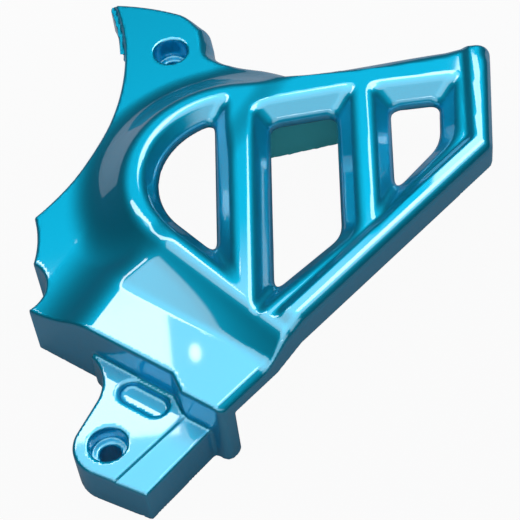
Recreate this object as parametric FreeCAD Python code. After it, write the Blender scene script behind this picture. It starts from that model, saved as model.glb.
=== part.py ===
"""Sprocket cover for a small motorbike: one moulded plastic shell.

The outer form is built first, then the same form again, smaller by the wall,
is taken out of it. Windows, bosses, holes and rim cuts follow.
Frame: millimetres, z up, z = 0 is the rim plane that faces the engine.
The plan is drawn about the axis of the drive sprocket, under the round end of
the cover. The finished shell is moved so that the axis of the tab's screw hole
is x = y = 0.
"""
import FreeCAD
import Part
import math
import os

# heights of the outer faces above the rim plane
TAB_Z = 16.5
FLANGE_Z = 22.0
FLAT_Z = 30.0
PANEL_Z = 36.0
RAIL_Z = 39.0

# shell
WALL = 2.6

# round bulge over the sprocket
BULGE_RADIUS = 39.5
BULGE_SLOPE = 42.0
BULGE_CREST = 6.0
BULGE_FOOT = 10.0

# straight run that leaves the bulge and gently falls to the lower flat
SPOKE_ANGLE = 222.8
SPOKE_RADIUS = BULGE_RADIUS - 1.5
SPOKE_TURN = 5.7
SPOKE_WIDTH = 20.0
SPOKE_LENGTH = 54.3
SPOKE_END_WIDTH = 16.9
SPOKE_END_ANGLE = 258.0

# strip that drops away along the free side of the lower flat
FOLD_OUT = 59.0
FOLD_DROP = 1.8
FOLD_END = -52.0

# slope between the flange and the lower flat
RAMP_ANGLE = 148.6
RAMP_FOOT = 27.0
RAMP_SLOPE = 38.0

# engine side: large round bite and two chain-guard scallops
BITE_EDGE = -42.4
BITE_RADIUS = 100.9
BITE_CENTRE = (BITE_EDGE - BITE_RADIUS, 69.7)
BITE_MIDDLE_Y = 44.4
BITE_OPENING_Y = (-1.15, 96.8)
SCALLOPS = ((-73.0, -3.6), (-71.5, -14.5), (-72.4, -24.2), (-67.6, -33.0), (-73.4, -43.8))

# front wall with its step outward beside the tab
FRONT_ANGLE = -35.0
FRONT_NEAR = 78.35
FRONT_FAR = 82.85
FRONT_STEP = (25.7, 32.5)

# arm
DIAGONAL = 61.9
ARM_TOP_LEFT = (22.6, 45.2)
ARM_TOP_RIGHT = (91.2, 50.2)
ARM_CORNER = (86.84, -0.66)
ARM_CREST = 5.5

# horn
HORN_TIP_Y = 99.4
HORN_TOP = ((-32.0, 95.8), (-16.0, 88.3))
HORN_CORNER = (-10.8, 84.8)
HORN_HEEL = (-9.4, 76.5)
HORN_THROAT_RADIUS = 17.4
HORN_THROAT_SWEEP = 55.0
HORN_CREST = 8.0
THROAT_CREST = 2.9
THROAT_EDGE = 2.4

# raised rail along the free end and the lower edge of the arm
RAIL_INNER = 52.6
RAIL_INNER_X = (81.1, 78.6)
RAIL_END = -36.0
RAIL_FOOT = -48.0
RAIL_CREST = 2.6
RAIL_SIDE = 4.0
RAIL_TOP = 5.0
RAIL_TOP_Y = 48.4

# windows
FLARE = 4.8
FLARE_RADIUS = 2.2
WINDOW_CORNER = 2.8
WINDOW_ROUND = BULGE_RADIUS - 10.7
WINDOW_STRAIGHT = -7.9
ROUND_CORNERS = (4.0, 3.5)
LIP_DRAFT = 15.0
LIP_HEIGHT = 3.4
MIDDLE_WINDOW = ((10.8, 23.3), (9.7, -51.0), (34.1, -29.2), (35.3, 26.2))
END_WINDOW = ((53.4, 27.2), (52.1, -12.4), (70.3, 8.0), (71.8, 28.2))

# tab
TAB_TIP_RADIUS = 11.5
TAB_BACK = (-44.0, -48.0)
BAY_CENTRE = (-64.2, -71.5)
BAY_RADIUS = 16.0
TAB_HOLE = (-45.7, -95.4)
TAB_CORNER = (-33.2, -115.0)
TAB_SIDE_ANGLE = 47.6
CREASE_OUT = 46.4
FACET_DROP = 0.8
POCKET_CENTRE = (-34.4, -78.9)
POCKET_LENGTH = 17.5
POCKET_WIDTH = 7.5
POCKET_DEPTH = 2.5

# screws
SCREW_RADIUS = 3.5
HEAD_RADIUS = 6.2
HEAD_DEPTH_TAB = 6.0
HEAD_DEPTH_HORN = 9.0
BOSS_WALL = 2.2
HORN_HOLE = (-25.2, 71.8)
HORN_BOSS_FOOT = 4.0

# lower edge of the skirt: heights where it is cut short
ARM_RIM_Z = 27.0
FLAT_RIM_Z = 23.0
HORN_RIM_Z = 8.0
TOP_RIM = ((36.0, 0.0), (43.0, 8.5), (54.0, 14.0), (71.0, 18.5), (88.0, 22.5))
EAR_START = -73.2
EAR_LENGTH = 6.0
EAR_CORNER = 3.0

# thin web that closes the side of the horn
WEB_OUT = 2.0
WEB_DROP = 1.4
WEB_FOOT_Y = 73.5

BIG = 400.0

# radii of the corners in plan
CUSP_RADII = (1.5, 1.2, 1.2)
STEP_RADII = (3.0, 2.0)
FAR_RADIUS = 3.0
ARM_RADIUS = 5.0
THROAT_RADIUS = 12.0
HORN_RADIUS = 4.5


def vec(x, y, z=0.0):
    return FreeCAD.Vector(x, y, z)


def polar(radius, degrees, z=0.0):
    angle = math.radians(degrees)
    return vec(radius * math.cos(angle), radius * math.sin(angle), z)


def at(base, radius, degrees):
    return vec(base[0], base[1]) + polar(radius, degrees)


def line(a, b):
    return Part.LineSegment(a, b).toShape()


def arc(a, b, c):
    return Part.Arc(a, b, c).toShape()


def prism(wire_or_face, low, high):
    """Upright solid over a flat outline drawn at z = 0."""
    face = Part.Face(wire_or_face) if wire_or_face.ShapeType == "Wire" else wire_or_face
    face = face.copy()
    face.translate(vec(0, 0, low))
    return face.extrude(vec(0, 0, high - low))


def front_point(along, out):
    """Point beside the front wall: distance along it, distance out from the axis."""
    a = math.radians(FRONT_ANGLE)
    return vec(along * math.cos(a) + out * math.sin(a), along * math.sin(a) - out * math.cos(a))


def diagonal_point(along, out):
    """Point beside the lower edge of the arm, which runs at 45 degrees."""
    k = math.sqrt(0.5)
    return vec((along + out) * k, (along - out) * k)


def throat_point(sweep):
    """Point on the throat of the horn, its angle measured round from the heel."""
    centre = (HORN_HEEL[0] + HORN_THROAT_RADIUS, HORN_HEEL[1])
    return at(centre, HORN_THROAT_RADIUS, 180 + sweep)


def bite_angle(y):
    return math.degrees(math.asin((y - BITE_CENTRE[1]) / BITE_RADIUS))


def bite_point(y):
    """Point of the bite's edge at a height of the plan."""
    return at(BITE_CENTRE, BITE_RADIUS, bite_angle(y))


def sharp_corners():
    """The two corners of the step in the front wall and the far corner of the lower flat."""
    step_in = front_point(FRONT_STEP[0], FRONT_NEAR)
    step_out = front_point(FRONT_STEP[1], FRONT_FAR)
    return step_in, step_out, diagonal_point(EAR_START, DIAGONAL)


def outline():
    """Plan outline of the whole shell without the tab."""
    s = [vec(*p) for p in SCALLOPS]
    step_in, step_out, far_corner = sharp_corners()
    throat_end = throat_point(HORN_THROAT_SWEEP)
    heel = vec(*HORN_HEEL)
    tip = bite_point(HORN_TIP_Y)
    edges = [
        arc(tip, bite_point(BITE_MIDDLE_Y), s[0]),
        arc(s[0], s[1], s[2]),
        arc(s[2], s[3], s[4]),
        line(s[4], step_in),
        line(step_in, step_out),
        line(step_out, far_corner),
        line(far_corner, vec(*ARM_CORNER)),
        line(vec(*ARM_CORNER), vec(*ARM_TOP_RIGHT)),
        line(vec(*ARM_TOP_RIGHT), vec(*ARM_TOP_LEFT)),
        line(vec(*ARM_TOP_LEFT), throat_end),
        arc(throat_end, throat_point(HORN_THROAT_SWEEP / 2), heel),
        line(heel, vec(*HORN_CORNER)),
        line(vec(*HORN_CORNER), vec(*HORN_TOP[1])),
        arc(vec(*HORN_TOP[1]), vec(*HORN_TOP[0]), tip),
    ]
    return Part.Wire(edges)


def plan(inset):
    """Plan outline as a face with its corners rounded, drawn in by the inset."""
    points = [vec(*p) for p in SCALLOPS[::2]]
    points += sharp_corners()
    points += [vec(*p) for p in (ARM_CORNER, ARM_TOP_RIGHT, ARM_TOP_LEFT, HORN_CORNER)]
    radii = CUSP_RADII + STEP_RADII + (FAR_RADIUS, ARM_RADIUS, ARM_RADIUS, THROAT_RADIUS, HORN_RADIUS)
    corners = [c for c in zip(points, radii) if c[1] > 1.5 * inset]
    face = soften(Part.Face(outline()), corners)
    return face.makeOffset2D(-inset) if inset else face


def half_plane(angle, reach, low, high):
    """Upright block on the near side of the line: p . n <= reach."""
    block = Part.makeBox(BIG, 2 * BIG, high - low, vec(reach - BIG, -BIG, low))
    block.rotate(vec(0, 0), vec(0, 0, 1), angle)
    return block


def slope_edges(start, top, base, angle, crest, foot):
    """Profile edges from a flat top, over a rounded crest, down to a rounded foot.

    Drawn in the x-z plane; returns the edges and the x where the foot runs out.
    """
    a = math.radians(angle)
    run = (top - base) / math.tan(a)
    crest_reach = crest * math.tan(a / 2)
    foot_reach = foot * math.tan(a / 2)
    crest_mid = vec(start - crest_reach + crest * math.sin(a / 2), 0, top - crest * (1 - math.cos(a / 2)))
    crest_end = vec(start + crest_reach * math.cos(a), 0, top - crest_reach * math.sin(a))
    foot_start = vec(start + run - foot_reach * math.cos(a), 0, base + foot_reach * math.sin(a))
    foot_end = start + run + foot_reach
    foot_mid = vec(foot_end - foot * math.sin(a / 2), 0, base + foot * (1 - math.cos(a / 2)))
    edges = [
        arc(vec(start - crest_reach, 0, top), crest_mid, crest_end),
        line(crest_end, foot_start),
        arc(foot_start, foot_mid, vec(foot_end, 0, base)),
    ]
    return edges, foot_end


def slope_face(inner, start, top, base, low, angle, crest, foot):
    """Upright face: flat top from x = inner, slope, and down to the low level."""
    edges, end = slope_edges(start, top, base, angle, crest, foot)
    first = edges[0].Vertexes[0].Point
    ring = [line(vec(inner, 0, low), vec(inner, 0, top)), line(vec(inner, 0, top), first)]
    ring += edges
    ring += [line(vec(end, 0, base), vec(end, 0, low)), line(vec(end, 0, low), vec(inner, 0, low))]
    return Part.Face(Part.Wire(ring)), end


def bulge_face(inset, low):
    start = BULGE_RADIUS - inset * math.tan(math.radians(BULGE_SLOPE / 2))
    return slope_face(0.0, start, PANEL_Z - inset, FLANGE_Z - inset, low,
                      BULGE_SLOPE, BULGE_CREST - inset, BULGE_FOOT + inset)


def bulge(inset, low):
    """Round end over the sprocket, and its straight run along the top of the arm."""
    face, end = bulge_face(inset, low)
    face.rotate(vec(0, 0), vec(0, 0, 1), 90)
    turned = face.revolve(vec(0, 0), vec(0, 0, 1), SPOKE_ANGLE - 90 + 6)
    run = face.extrude(vec(24, 0, 0))
    return turned.fuse(run), end


def ramp(inset, low, top):
    """Ground that climbs from the flange to the lower flat."""
    start = RAMP_FOOT - (FLAT_Z - FLANGE_Z) / math.tan(math.radians(RAMP_SLOPE))
    start -= inset * math.tan(math.radians(RAMP_SLOPE / 2))
    start -= (top - FLAT_Z) / math.tan(math.radians(RAMP_SLOPE))
    face, end = slope_face(-150.0, start, top - inset, FLANGE_Z - inset, low,
                           RAMP_SLOPE, 7.0 - inset, 8.0 + inset)
    block = face.extrude(vec(0, 160, 0))
    block.rotate(vec(0, 0), vec(0, 0, 1), RAMP_ANGLE)
    return block, end


def spoke_end():
    """Far end of the panel's straight edge, which leaves the round end as a tangent."""
    touch = SPOKE_ANGLE + SPOKE_TURN
    return polar(SPOKE_RADIUS, touch) + polar(SPOKE_LENGTH, touch + 90)


def spoke(inset, low):
    """Long gentle fall from the panel edge to the lower flat, swept round and then straight."""

    def section(inner, outer):
        width = (outer - inner).Length
        angle = math.degrees(math.atan2(PANEL_Z - FLAT_Z, width - 6.0))
        face, _ = slope_face(-14.0, 0.0, PANEL_Z - inset, FLAT_Z - inset, low,
                             angle, BULGE_CREST - inset, 10.0)
        face.rotate(vec(0, 0), vec(0, 0, 1), math.degrees(math.atan2(outer.y - inner.y, outer.x - inner.x)))
        face.translate(inner)
        return face

    touch = SPOKE_ANGLE + SPOKE_TURN
    end = spoke_end()
    first = section(polar(SPOKE_RADIUS, touch), polar(SPOKE_RADIUS + SPOKE_WIDTH, touch))
    last = section(end, end + polar(SPOKE_END_WIDTH, SPOKE_END_ANGLE))
    straight = Part.makeLoft([first.OuterWire, last.OuterWire], True, True)
    turned = first.revolve(vec(0, 0), vec(0, 0, 1), -32)
    return straight.fuse(turned)


def arm(inset, low):
    """Flat window panel of the arm with its rounded top edge."""
    slope = (ARM_TOP_RIGHT[1] - ARM_TOP_LEFT[1]) / (ARM_TOP_RIGHT[0] - ARM_TOP_LEFT[0])
    top_left = vec(0, ARM_TOP_LEFT[1] - slope * ARM_TOP_LEFT[0] - inset)
    top_right = vec(140, top_left.y + slope * 140)
    near = polar(SPOKE_RADIUS - 7.0, SPOKE_ANGLE)
    end = spoke_end() + vec(0, 7.0)
    ring = [top_left, vec(0, 0), near, end, vec(140, end.y), top_right]
    block = prism(Part.makePolygon(ring + [ring[0]]), low, PANEL_Z - inset)
    crest = [e for e in block.Edges if abs(e.CenterOfMass.z - PANEL_Z + inset) < 0.01
             and abs(e.CenterOfMass.x - 70) < 5 and e.CenterOfMass.y > 20]
    return block.makeFillet(ARM_CREST - inset, crest)


def rail(inset, low, bound):
    """Raised rail down the free end and along the lower edge, with its sloped end."""
    far = DIAGONAL + 20.0
    near = RAIL_INNER + inset
    top = RAIL_Z - inset
    corner_x = RAIL_INNER_X[1] + inset
    ring = [
        diagonal_point(RAIL_FOOT - 2, near),
        diagonal_point(RAIL_FOOT - 2, far),
        vec(140, -40),
        vec(140, RAIL_TOP_Y - inset),
        vec(RAIL_INNER_X[0] + inset, RAIL_TOP_Y - inset),
        vec(corner_x, corner_x - near * math.sqrt(2)),
    ]
    block = prism(Part.makePolygon(ring + [ring[0]]), low, top).common(bound)
    side = [vec(RAIL_FOOT, 0, low - 1), vec(RAIL_FOOT, 0, FLAT_Z - inset), vec(RAIL_END, 0, top),
            vec(RAIL_END, 0, top + 9), vec(200, 0, top + 9), vec(200, 0, low - 1)]
    slab = Part.Face(Part.makePolygon(side + [side[0]])).extrude(vec(0, 2 * BIG, 0))
    slab.translate(vec(0, -BIG, 0))
    slab.rotate(vec(0, 0), vec(0, 0, 1), 45)
    block = block.common(slab)

    def is_inner(middle):
        beside_end = middle.y > 0 and middle.x < RAIL_INNER_X[0] + inset + 0.1
        return beside_end or abs(diagonal_out(middle) - near) < 0.1

    def is_end(middle):
        return abs(middle.y - RAIL_TOP_Y + inset) < 0.1

    def is_outer(middle):
        return middle.x > 86 or diagonal_out(middle) > DIAGONAL - inset - 0.1

    for test, radius in ((is_inner, RAIL_CREST), (is_end, RAIL_TOP), (is_outer, RAIL_SIDE)):
        if radius > inset:
            edges = [e for e in top_edges(block, top) if test(e.CenterOfMass)]
            block = block.makeFillet(radius - inset, edges)
    return block


def horn_shoulder(inset):
    """Block that leaves a broad rounded edge down the side of the horn, fading out round its throat."""
    top = FLANGE_Z - inset
    throat = throat_point(0) + vec(HORN_THROAT_RADIUS, 0)
    lean = 1 - math.sqrt(0.5)
    sections = []
    for i in range(5):
        share = i / 4.0
        radius = HORN_CREST + share * (THROAT_CREST - HORN_CREST) - inset
        reach = inset + radius
        rounding = arc(vec(inset, 0, top - radius), vec(inset + radius * lean, 0, top - radius * lean),
                       vec(reach, 0, top))
        corners = [vec(reach, 0, top), vec(reach, 0, top + 1), vec(-5, 0, top + 1), vec(-5, 0, top - radius),
                   vec(inset, 0, top - radius)]
        section = Part.Wire([rounding] + Part.makePolygon(corners).Edges)
        section.rotate(vec(0, 0), vec(0, 0, 1), 180)
        section.translate(vec(*HORN_HEEL))
        section.rotate(throat, vec(0, 0, 1), share * HORN_THROAT_SWEEP)
        sections.append(section)
    side = Part.Face(sections[0]).extrude((vec(*HORN_CORNER) - vec(*HORN_HEEL)) * 3)
    return side.fuse(Part.makeLoft(sections, True, False))


def top_edges(shape, z):
    return [e for e in shape.Edges if all(abs(v.Z - z) < 1e-4 for v in e.Vertexes)]


def diagonal_out(point):
    """Distance of a point out from the axis, across the lower edge of the arm."""
    return (point.x - point.y) * math.sqrt(0.5)


def round_at(shape, point, radius):
    """Round the edge nearest a point, and the edges that run on smoothly from it."""
    spot = Part.Vertex(point)
    nearest = min(shape.Edges, key=lambda e: e.distToShape(spot)[0])
    return shape.makeFillet(radius, [nearest])


def diagonal_bar(section, start, end):
    """Bar along the lower edge of the arm through a section of (out, z) points."""
    ring = [diagonal_point(start, out) + vec(0, 0, z) for out, z in section]
    face = Part.Face(Part.makePolygon(ring + [ring[0]]))
    return face.extrude(diagonal_point(end, 0) - diagonal_point(start, 0))


def tab_face():
    """Plan of the low tab, reaching back inside the front wall."""
    hole = vec(*TAB_HOLE)
    corner = vec(*TAB_CORNER)
    tip = [at(TAB_HOLE, TAB_TIP_RADIUS, a) for a in (156.0, 200.0, 243.0)]
    waist = [at(BAY_CENTRE, BAY_RADIUS, a) for a in (42.0, 5.0, -24.0)]
    k = math.radians(TAB_SIDE_ANGLE)
    side_end = corner + vec(math.cos(k), math.sin(k)) * 44.0
    back = vec(*TAB_BACK)
    edges = [
        arc(*waist),
        line(waist[2], tip[0]),
        arc(*tip),
        line(tip[2], corner),
        line(corner, side_end),
        line(side_end, back),
        line(back, waist[0]),
    ]
    return Part.Face(Part.Wire(edges))


def tab(inset, low):
    """Low tab with its outer strip a little lower than the rest."""
    face = tab_face()
    if inset:
        face = face.makeOffset2D(-inset)
    top = TAB_Z - inset
    crease = [(CREASE_OUT, top), (CREASE_OUT + 1.0, top - FACET_DROP), (80, top - FACET_DROP), (80, top + 1),
              (CREASE_OUT, top + 1)]
    return prism(face, low, top).cut(diagonal_bar(crease, -125, -60))


def soften(face, corners):
    """Flat face with the corners nearest the given points rounded, each with its radius."""
    block = face.extrude(vec(0, 0, 1))
    for point, radius in corners:
        upright = [e for e in block.Edges if abs(e.Vertexes[0].Z - e.Vertexes[-1].Z) > 0.9]
        middle = point + vec(0, 0, 0.5)
        nearest = min(upright, key=lambda e: e.CenterOfMass.distanceToPoint(middle))
        block = block.makeFillet(radius, [nearest])
    return min(block.Faces, key=lambda f: f.CenterOfMass.z)


def window_plans():
    """Lip outlines of the three windows."""
    k = math.radians(SPOKE_ANGLE)
    n = vec(math.cos(k), math.sin(k))
    d = vec(-math.sin(k), math.cos(k))
    r = WINDOW_ROUND
    touch = n * r
    straight = WINDOW_STRAIGHT
    bottom = touch + d * ((straight - touch.x) / d.x)
    top = vec(straight, math.sqrt(r * r - straight * straight))
    mid = polar(r, 160)
    round_window = Part.Face(Part.Wire([arc(top, mid, touch), line(touch, bottom), line(bottom, top)]))
    middle = Part.makePolygon([vec(*p) for p in MIDDLE_WINDOW + MIDDLE_WINDOW[:1]])
    end = Part.makePolygon([vec(*p) for p in END_WINDOW + END_WINDOW[:1]])
    return [
        soften(round_window, zip((top, bottom), ROUND_CORNERS)),
        soften(Part.Face(middle), [(vec(*p), WINDOW_CORNER) for p in MIDDLE_WINDOW]),
        soften(Part.Face(end), [(vec(*p), WINDOW_CORNER) for p in END_WINDOW]),
    ]


def window_solid(face, grow, top):
    """Flared window: steep draft below the lip, wide flare above it."""
    lip = PANEL_Z - FLARE
    levels = [
        (lip - LIP_HEIGHT - 0.5 * (grow == 0), grow - LIP_HEIGHT * math.tan(math.radians(LIP_DRAFT))),
        (lip - grow * 0.4, grow),
        (top, grow + top - lip + grow * 0.4),
    ]
    wires = []
    for z, offset in levels:
        grown = face.makeOffset2D(offset)
        grown.translate(vec(0, 0, z))
        wires.append(grown.OuterWire)
    return Part.makeLoft(wires, True, True)


def flare_spot(face):
    """Point on the panel beside a window, where its flare ends."""
    grown = face.makeOffset2D(FLARE)
    longest = max(grown.OuterWire.Edges, key=lambda e: e.Length)
    return longest.CenterOfMass + vec(0, 0, PANEL_Z)


def form(inset, low):
    """The whole outer form, or the cavity when drawn in by the wall."""
    bound = prism(plan(inset), low, 80.0)
    round_end, foot = bulge(inset, low)
    ground, ramp_foot = ramp(inset, low, FLAT_Z)
    climb, _ = ramp(inset, low, 60.0)
    flange = prism(plan(inset), low, FLANGE_Z - inset)
    flange = flange.cut(Part.makeCylinder(foot, 80, vec(0, 0, low - 1)))
    flange = flange.cut(Part.makeBox(BIG, foot + BIG, 80, vec(0, -BIG, low - 1)))
    below = half_plane(RAMP_ANGLE, ramp_foot, low - 1, 80)
    flange = flange.cut(below.common(Part.makeBox(2 * BIG, BIG, 160, vec(-BIG, -BIG - 10, -80))))
    parts = [p.common(bound) for p in (round_end, ground, spoke(inset, low).common(climb), arm(inset, low))]
    body = flange.multiFuse(parts + [rail(inset, low, bound), tab(inset, low)])
    body = body.removeSplitter()
    if not inset:
        throat_end = throat_point(HORN_THROAT_SWEEP)
        beside = throat_end + (vec(*ARM_TOP_LEFT) - throat_end) * 0.2
        body = round_at(body, beside + vec(0, 0, FLANGE_Z), THROAT_EDGE)
    return body.cut(horn_shoulder(inset))


def outer_form():
    """Outer form with the strip that drops away beside the lower flat."""
    body = form(0.0, 0.0)
    fall = FOLD_DROP / (DIAGONAL - FOLD_OUT)
    strip = [(FOLD_OUT, FLAT_Z), (FOLD_OUT + 10, FLAT_Z - 10 * fall), (FOLD_OUT + 10, FLAT_Z + 1),
             (FOLD_OUT, FLAT_Z + 1)]
    return body.cut(diagonal_bar(strip, -90, FOLD_END))


def bite_opening():
    """Room along the big bite, where only the flange plate reaches the engine."""
    ring = Part.makeCylinder(BITE_RADIUS + WALL + 0.5, FLANGE_Z - WALL + 2, vec(*BITE_CENTRE, -2))
    ring = ring.cut(Part.makeCylinder(BITE_RADIUS - 2, FLANGE_Z, vec(*BITE_CENTRE, -2)))
    low, high = [bite_angle(y) for y in BITE_OPENING_Y]
    wedge = [vec(*BITE_CENTRE)] + [at(BITE_CENTRE, 1.5 * BITE_RADIUS, a) for a in (low, (low + high) / 2, high)]
    return ring.common(prism(Part.makePolygon(wedge + [wedge[0]]), -2, FLANGE_Z))


def horn_web():
    """Thin tapering web under the bite edge of the horn."""
    high = FLANGE_Z - WEB_DROP
    radius = BITE_RADIUS - WEB_OUT
    ring = Part.makeCylinder(radius + WALL, high, vec(*BITE_CENTRE))
    ring = ring.cut(Part.makeCylinder(radius, high, vec(*BITE_CENTRE)))
    rear = bite_point(HORN_TIP_Y)
    foot = bite_angle(WEB_FOOT_Y - 12)
    wedge = [vec(*BITE_CENTRE)] + [at(BITE_CENTRE, 1.5 * BITE_RADIUS, a) for a in (foot, bite_angle(rear.y))]
    side = [vec(-90, WEB_FOOT_Y, high), vec(-90, rear.y, HORN_RIM_Z), vec(-90, rear.y + 9, HORN_RIM_Z),
            vec(-90, rear.y + 9, high)]
    slab = Part.Face(Part.makePolygon(side + [side[0]])).extrude(vec(90, 0, 0))
    return ring.common(prism(Part.makePolygon(wedge + [wedge[0]]), 0, high)).common(slab)


def rim_cuts():
    """Blocks that cut the skirt short under the arm, the horn and the lower flat."""
    a, b, c, d, e = [vec(x, 30, z) for x, z in TOP_RIM]
    ring = [arc(a, b, c), line(c, d), line(d, e), line(e, vec(110, 30, e.z + 1)),
            line(vec(110, 30, e.z + 1), vec(110, 30, -2)), line(vec(110, 30, -2), vec(a.x, 30, -2)),
            line(vec(a.x, 30, -2), a)]
    top_side = Part.Face(Part.Wire(ring)).extrude(vec(0, 40, 0))
    ring = [vec(75, 60, -2), vec(75, 60, e.z), vec(75, ARM_CORNER[1], ARM_RIM_Z), vec(75, -12, ARM_RIM_Z),
            vec(75, -12, -2)]
    free_end = Part.Face(Part.makePolygon(ring + [ring[0]])).extrude(vec(40, 0, 0))
    stub = EAR_START + EAR_LENGTH
    levels = [(stub, EAR_CORNER), (stub, FLAT_RIM_Z), (RAIL_FOOT, FLAT_RIM_Z), (RAIL_END, ARM_RIM_Z),
              (90, ARM_RIM_Z), (90, -2), (stub - EAR_CORNER, -2), (stub - EAR_CORNER, 0)]
    points = [diagonal_point(along, DIAGONAL - 8) + vec(0, 0, z) for along, z in levels]
    knee = (points[-1] + points[0]) * 0.5
    knee += (vec(points[0].x, points[0].y, 0) - knee).normalize() * (EAR_CORNER * (1 - math.sqrt(0.5)))
    edges = [line(points[i], points[i + 1]) for i in range(len(points) - 1)]
    edges.append(arc(points[-1], knee, points[0]))
    lower_side = Part.Face(Part.Wire(edges)).extrude(diagonal_point(0, 30))
    ring = [vec(-90, 57, -2), vec(-90, 57, 0), vec(-90, 64, HORN_RIM_Z), vec(-90, 120, HORN_RIM_Z),
            vec(-90, 120, -2)]
    horn = Part.Face(Part.makePolygon(ring + [ring[0]])).extrude(vec(105, 0, 0))
    return [top_side, free_end, lower_side, horn]


def boss(place, top, depth, foot):
    """Screw boss: a cup round the sunk screw head on a narrower sleeve."""
    seat = top - depth
    cup = Part.makeCylinder(HEAD_RADIUS + BOSS_WALL, depth + WALL - 0.5, vec(*place, seat - WALL))
    sleeve = Part.makeCylinder(SCREW_RADIUS + BOSS_WALL, seat - foot, vec(*place, foot))
    return cup.fuse(sleeve)


def screw_hole(place, top, depth, foot):
    """Clearance hole with a sunk seat for the screw head."""
    hole = Part.makeCylinder(SCREW_RADIUS, top - foot + 2, vec(*place, foot - 1))
    sink = Part.makeCylinder(HEAD_RADIUS, depth + 1, vec(*place, top - depth))
    return hole.fuse(sink)


def pocket(grow, top, depth):
    """Round-ended block for the shallow pocket of the tab."""
    half = (POCKET_LENGTH - POCKET_WIDTH) / 2.0
    radius = POCKET_WIDTH / 2.0 + grow
    block = Part.makeBox(2 * half, 2 * radius, depth, vec(-half, -radius, top - depth))
    ends = [Part.makeCylinder(radius, depth, vec(x, 0, top - depth)) for x in (-half, half)]
    block = block.multiFuse(ends).removeSplitter()
    block.rotate(vec(0, 0), vec(0, 0, 1), FRONT_ANGLE)
    block.translate(vec(*POCKET_CENTRE))
    return block


def cover():
    """The finished shell."""
    plans = window_plans()
    frames = [window_solid(f, WALL, PANEL_Z - 1.0) for f in plans]
    skin = outer_form().cut([window_solid(f, 0.0, PANEL_Z + 8) for f in plans])
    for face in plans:
        skin = round_at(skin, flare_spot(face), FLARE_RADIUS)
    shell = skin.cut(form(WALL, -2.0).cut(frames))
    shell = shell.cut(rim_cuts() + [bite_opening()])
    shell = shell.multiFuse([
        horn_web(),
        boss(TAB_HOLE, TAB_Z, HEAD_DEPTH_TAB, 0.0),
        boss(HORN_HOLE, FLANGE_Z, HEAD_DEPTH_HORN, HORN_BOSS_FOOT),
        pocket(WALL, TAB_Z - WALL / 2, POCKET_DEPTH + WALL / 2),
    ])
    shell = shell.cut([
        screw_hole(TAB_HOLE, TAB_Z, HEAD_DEPTH_TAB, 0.0),
        screw_hole(HORN_HOLE, FLANGE_Z, HEAD_DEPTH_HORN, HORN_BOSS_FOOT),
        pocket(0.0, TAB_Z + 1, POCKET_DEPTH + 1),
    ])
    shell = shell.removeSplitter()
    shell.translate(vec(-TAB_HOLE[0], -TAB_HOLE[1]))
    return shell


if __name__ == "__main__":
    os.makedirs("parts", exist_ok=True)
    cover().exportStep("parts/sprocket_cover.step")
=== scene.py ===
"""Looks of a moulded sprocket cover in candy-blue lacquer, on a pale studio floor.

The shell is made anew as one blended skin: a signed field gives the distance to its faces, with
every crest, foot and rim rounded into the next, and a net of quads is drawn over the field's zero.
Lengths in the shell's own functions are millimetres about the axis of the drive sprocket, with z up
from the rim plane; SHIFT brings them into the frame of the part, where the tab's screw is the origin.
"""

import math

import bpy
import numpy as np
from mathutils import Matrix, Vector


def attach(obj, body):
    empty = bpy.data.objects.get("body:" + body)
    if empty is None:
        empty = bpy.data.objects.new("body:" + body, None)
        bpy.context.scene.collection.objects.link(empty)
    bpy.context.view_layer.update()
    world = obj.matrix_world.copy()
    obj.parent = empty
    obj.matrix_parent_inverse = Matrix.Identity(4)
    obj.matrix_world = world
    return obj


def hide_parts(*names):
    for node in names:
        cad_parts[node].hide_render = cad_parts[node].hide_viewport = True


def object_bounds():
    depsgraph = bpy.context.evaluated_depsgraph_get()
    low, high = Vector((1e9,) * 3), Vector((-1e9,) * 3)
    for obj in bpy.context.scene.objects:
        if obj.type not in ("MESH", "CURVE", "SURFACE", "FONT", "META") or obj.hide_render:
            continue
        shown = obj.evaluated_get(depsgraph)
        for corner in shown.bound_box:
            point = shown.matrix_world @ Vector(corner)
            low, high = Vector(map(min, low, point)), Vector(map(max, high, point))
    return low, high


bl_info = {
    "name": "Sprocket cover",
    "version": (1, 0, 0),
    "blender": (4, 5, 0),
    "location": "3D View > Sidebar > Sprocket cover",
    "description": "Dresses a moulded sprocket cover in lacquer and sets its studio",
    "category": "Object",
}

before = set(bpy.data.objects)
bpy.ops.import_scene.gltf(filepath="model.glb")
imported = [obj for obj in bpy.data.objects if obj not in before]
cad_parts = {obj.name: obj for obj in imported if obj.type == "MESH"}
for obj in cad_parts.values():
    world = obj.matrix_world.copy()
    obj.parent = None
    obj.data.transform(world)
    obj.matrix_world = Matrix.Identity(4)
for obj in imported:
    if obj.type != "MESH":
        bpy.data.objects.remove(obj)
CAD_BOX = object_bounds()
NODE = "sprocket_cover"


# Shader expressions


class Socket:
    """A shader value that can be used in Python expressions."""

    def __init__(self, paint, socket):
        self.paint = paint
        self.socket = socket

    def _math(self, operation, first, second):
        return self.paint.node("ShaderNodeMath", {"operation": operation}, {0: first, 1: second})

    def __add__(self, other):
        return self._math("ADD", self, other)

    def __radd__(self, other):
        return self._math("ADD", other, self)

    def __sub__(self, other):
        return self._math("SUBTRACT", self, other)

    def __rsub__(self, other):
        return self._math("SUBTRACT", other, self)

    def __mul__(self, other):
        return self._math("MULTIPLY", self, other)

    def __rmul__(self, other):
        return self._math("MULTIPLY", other, self)


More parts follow.
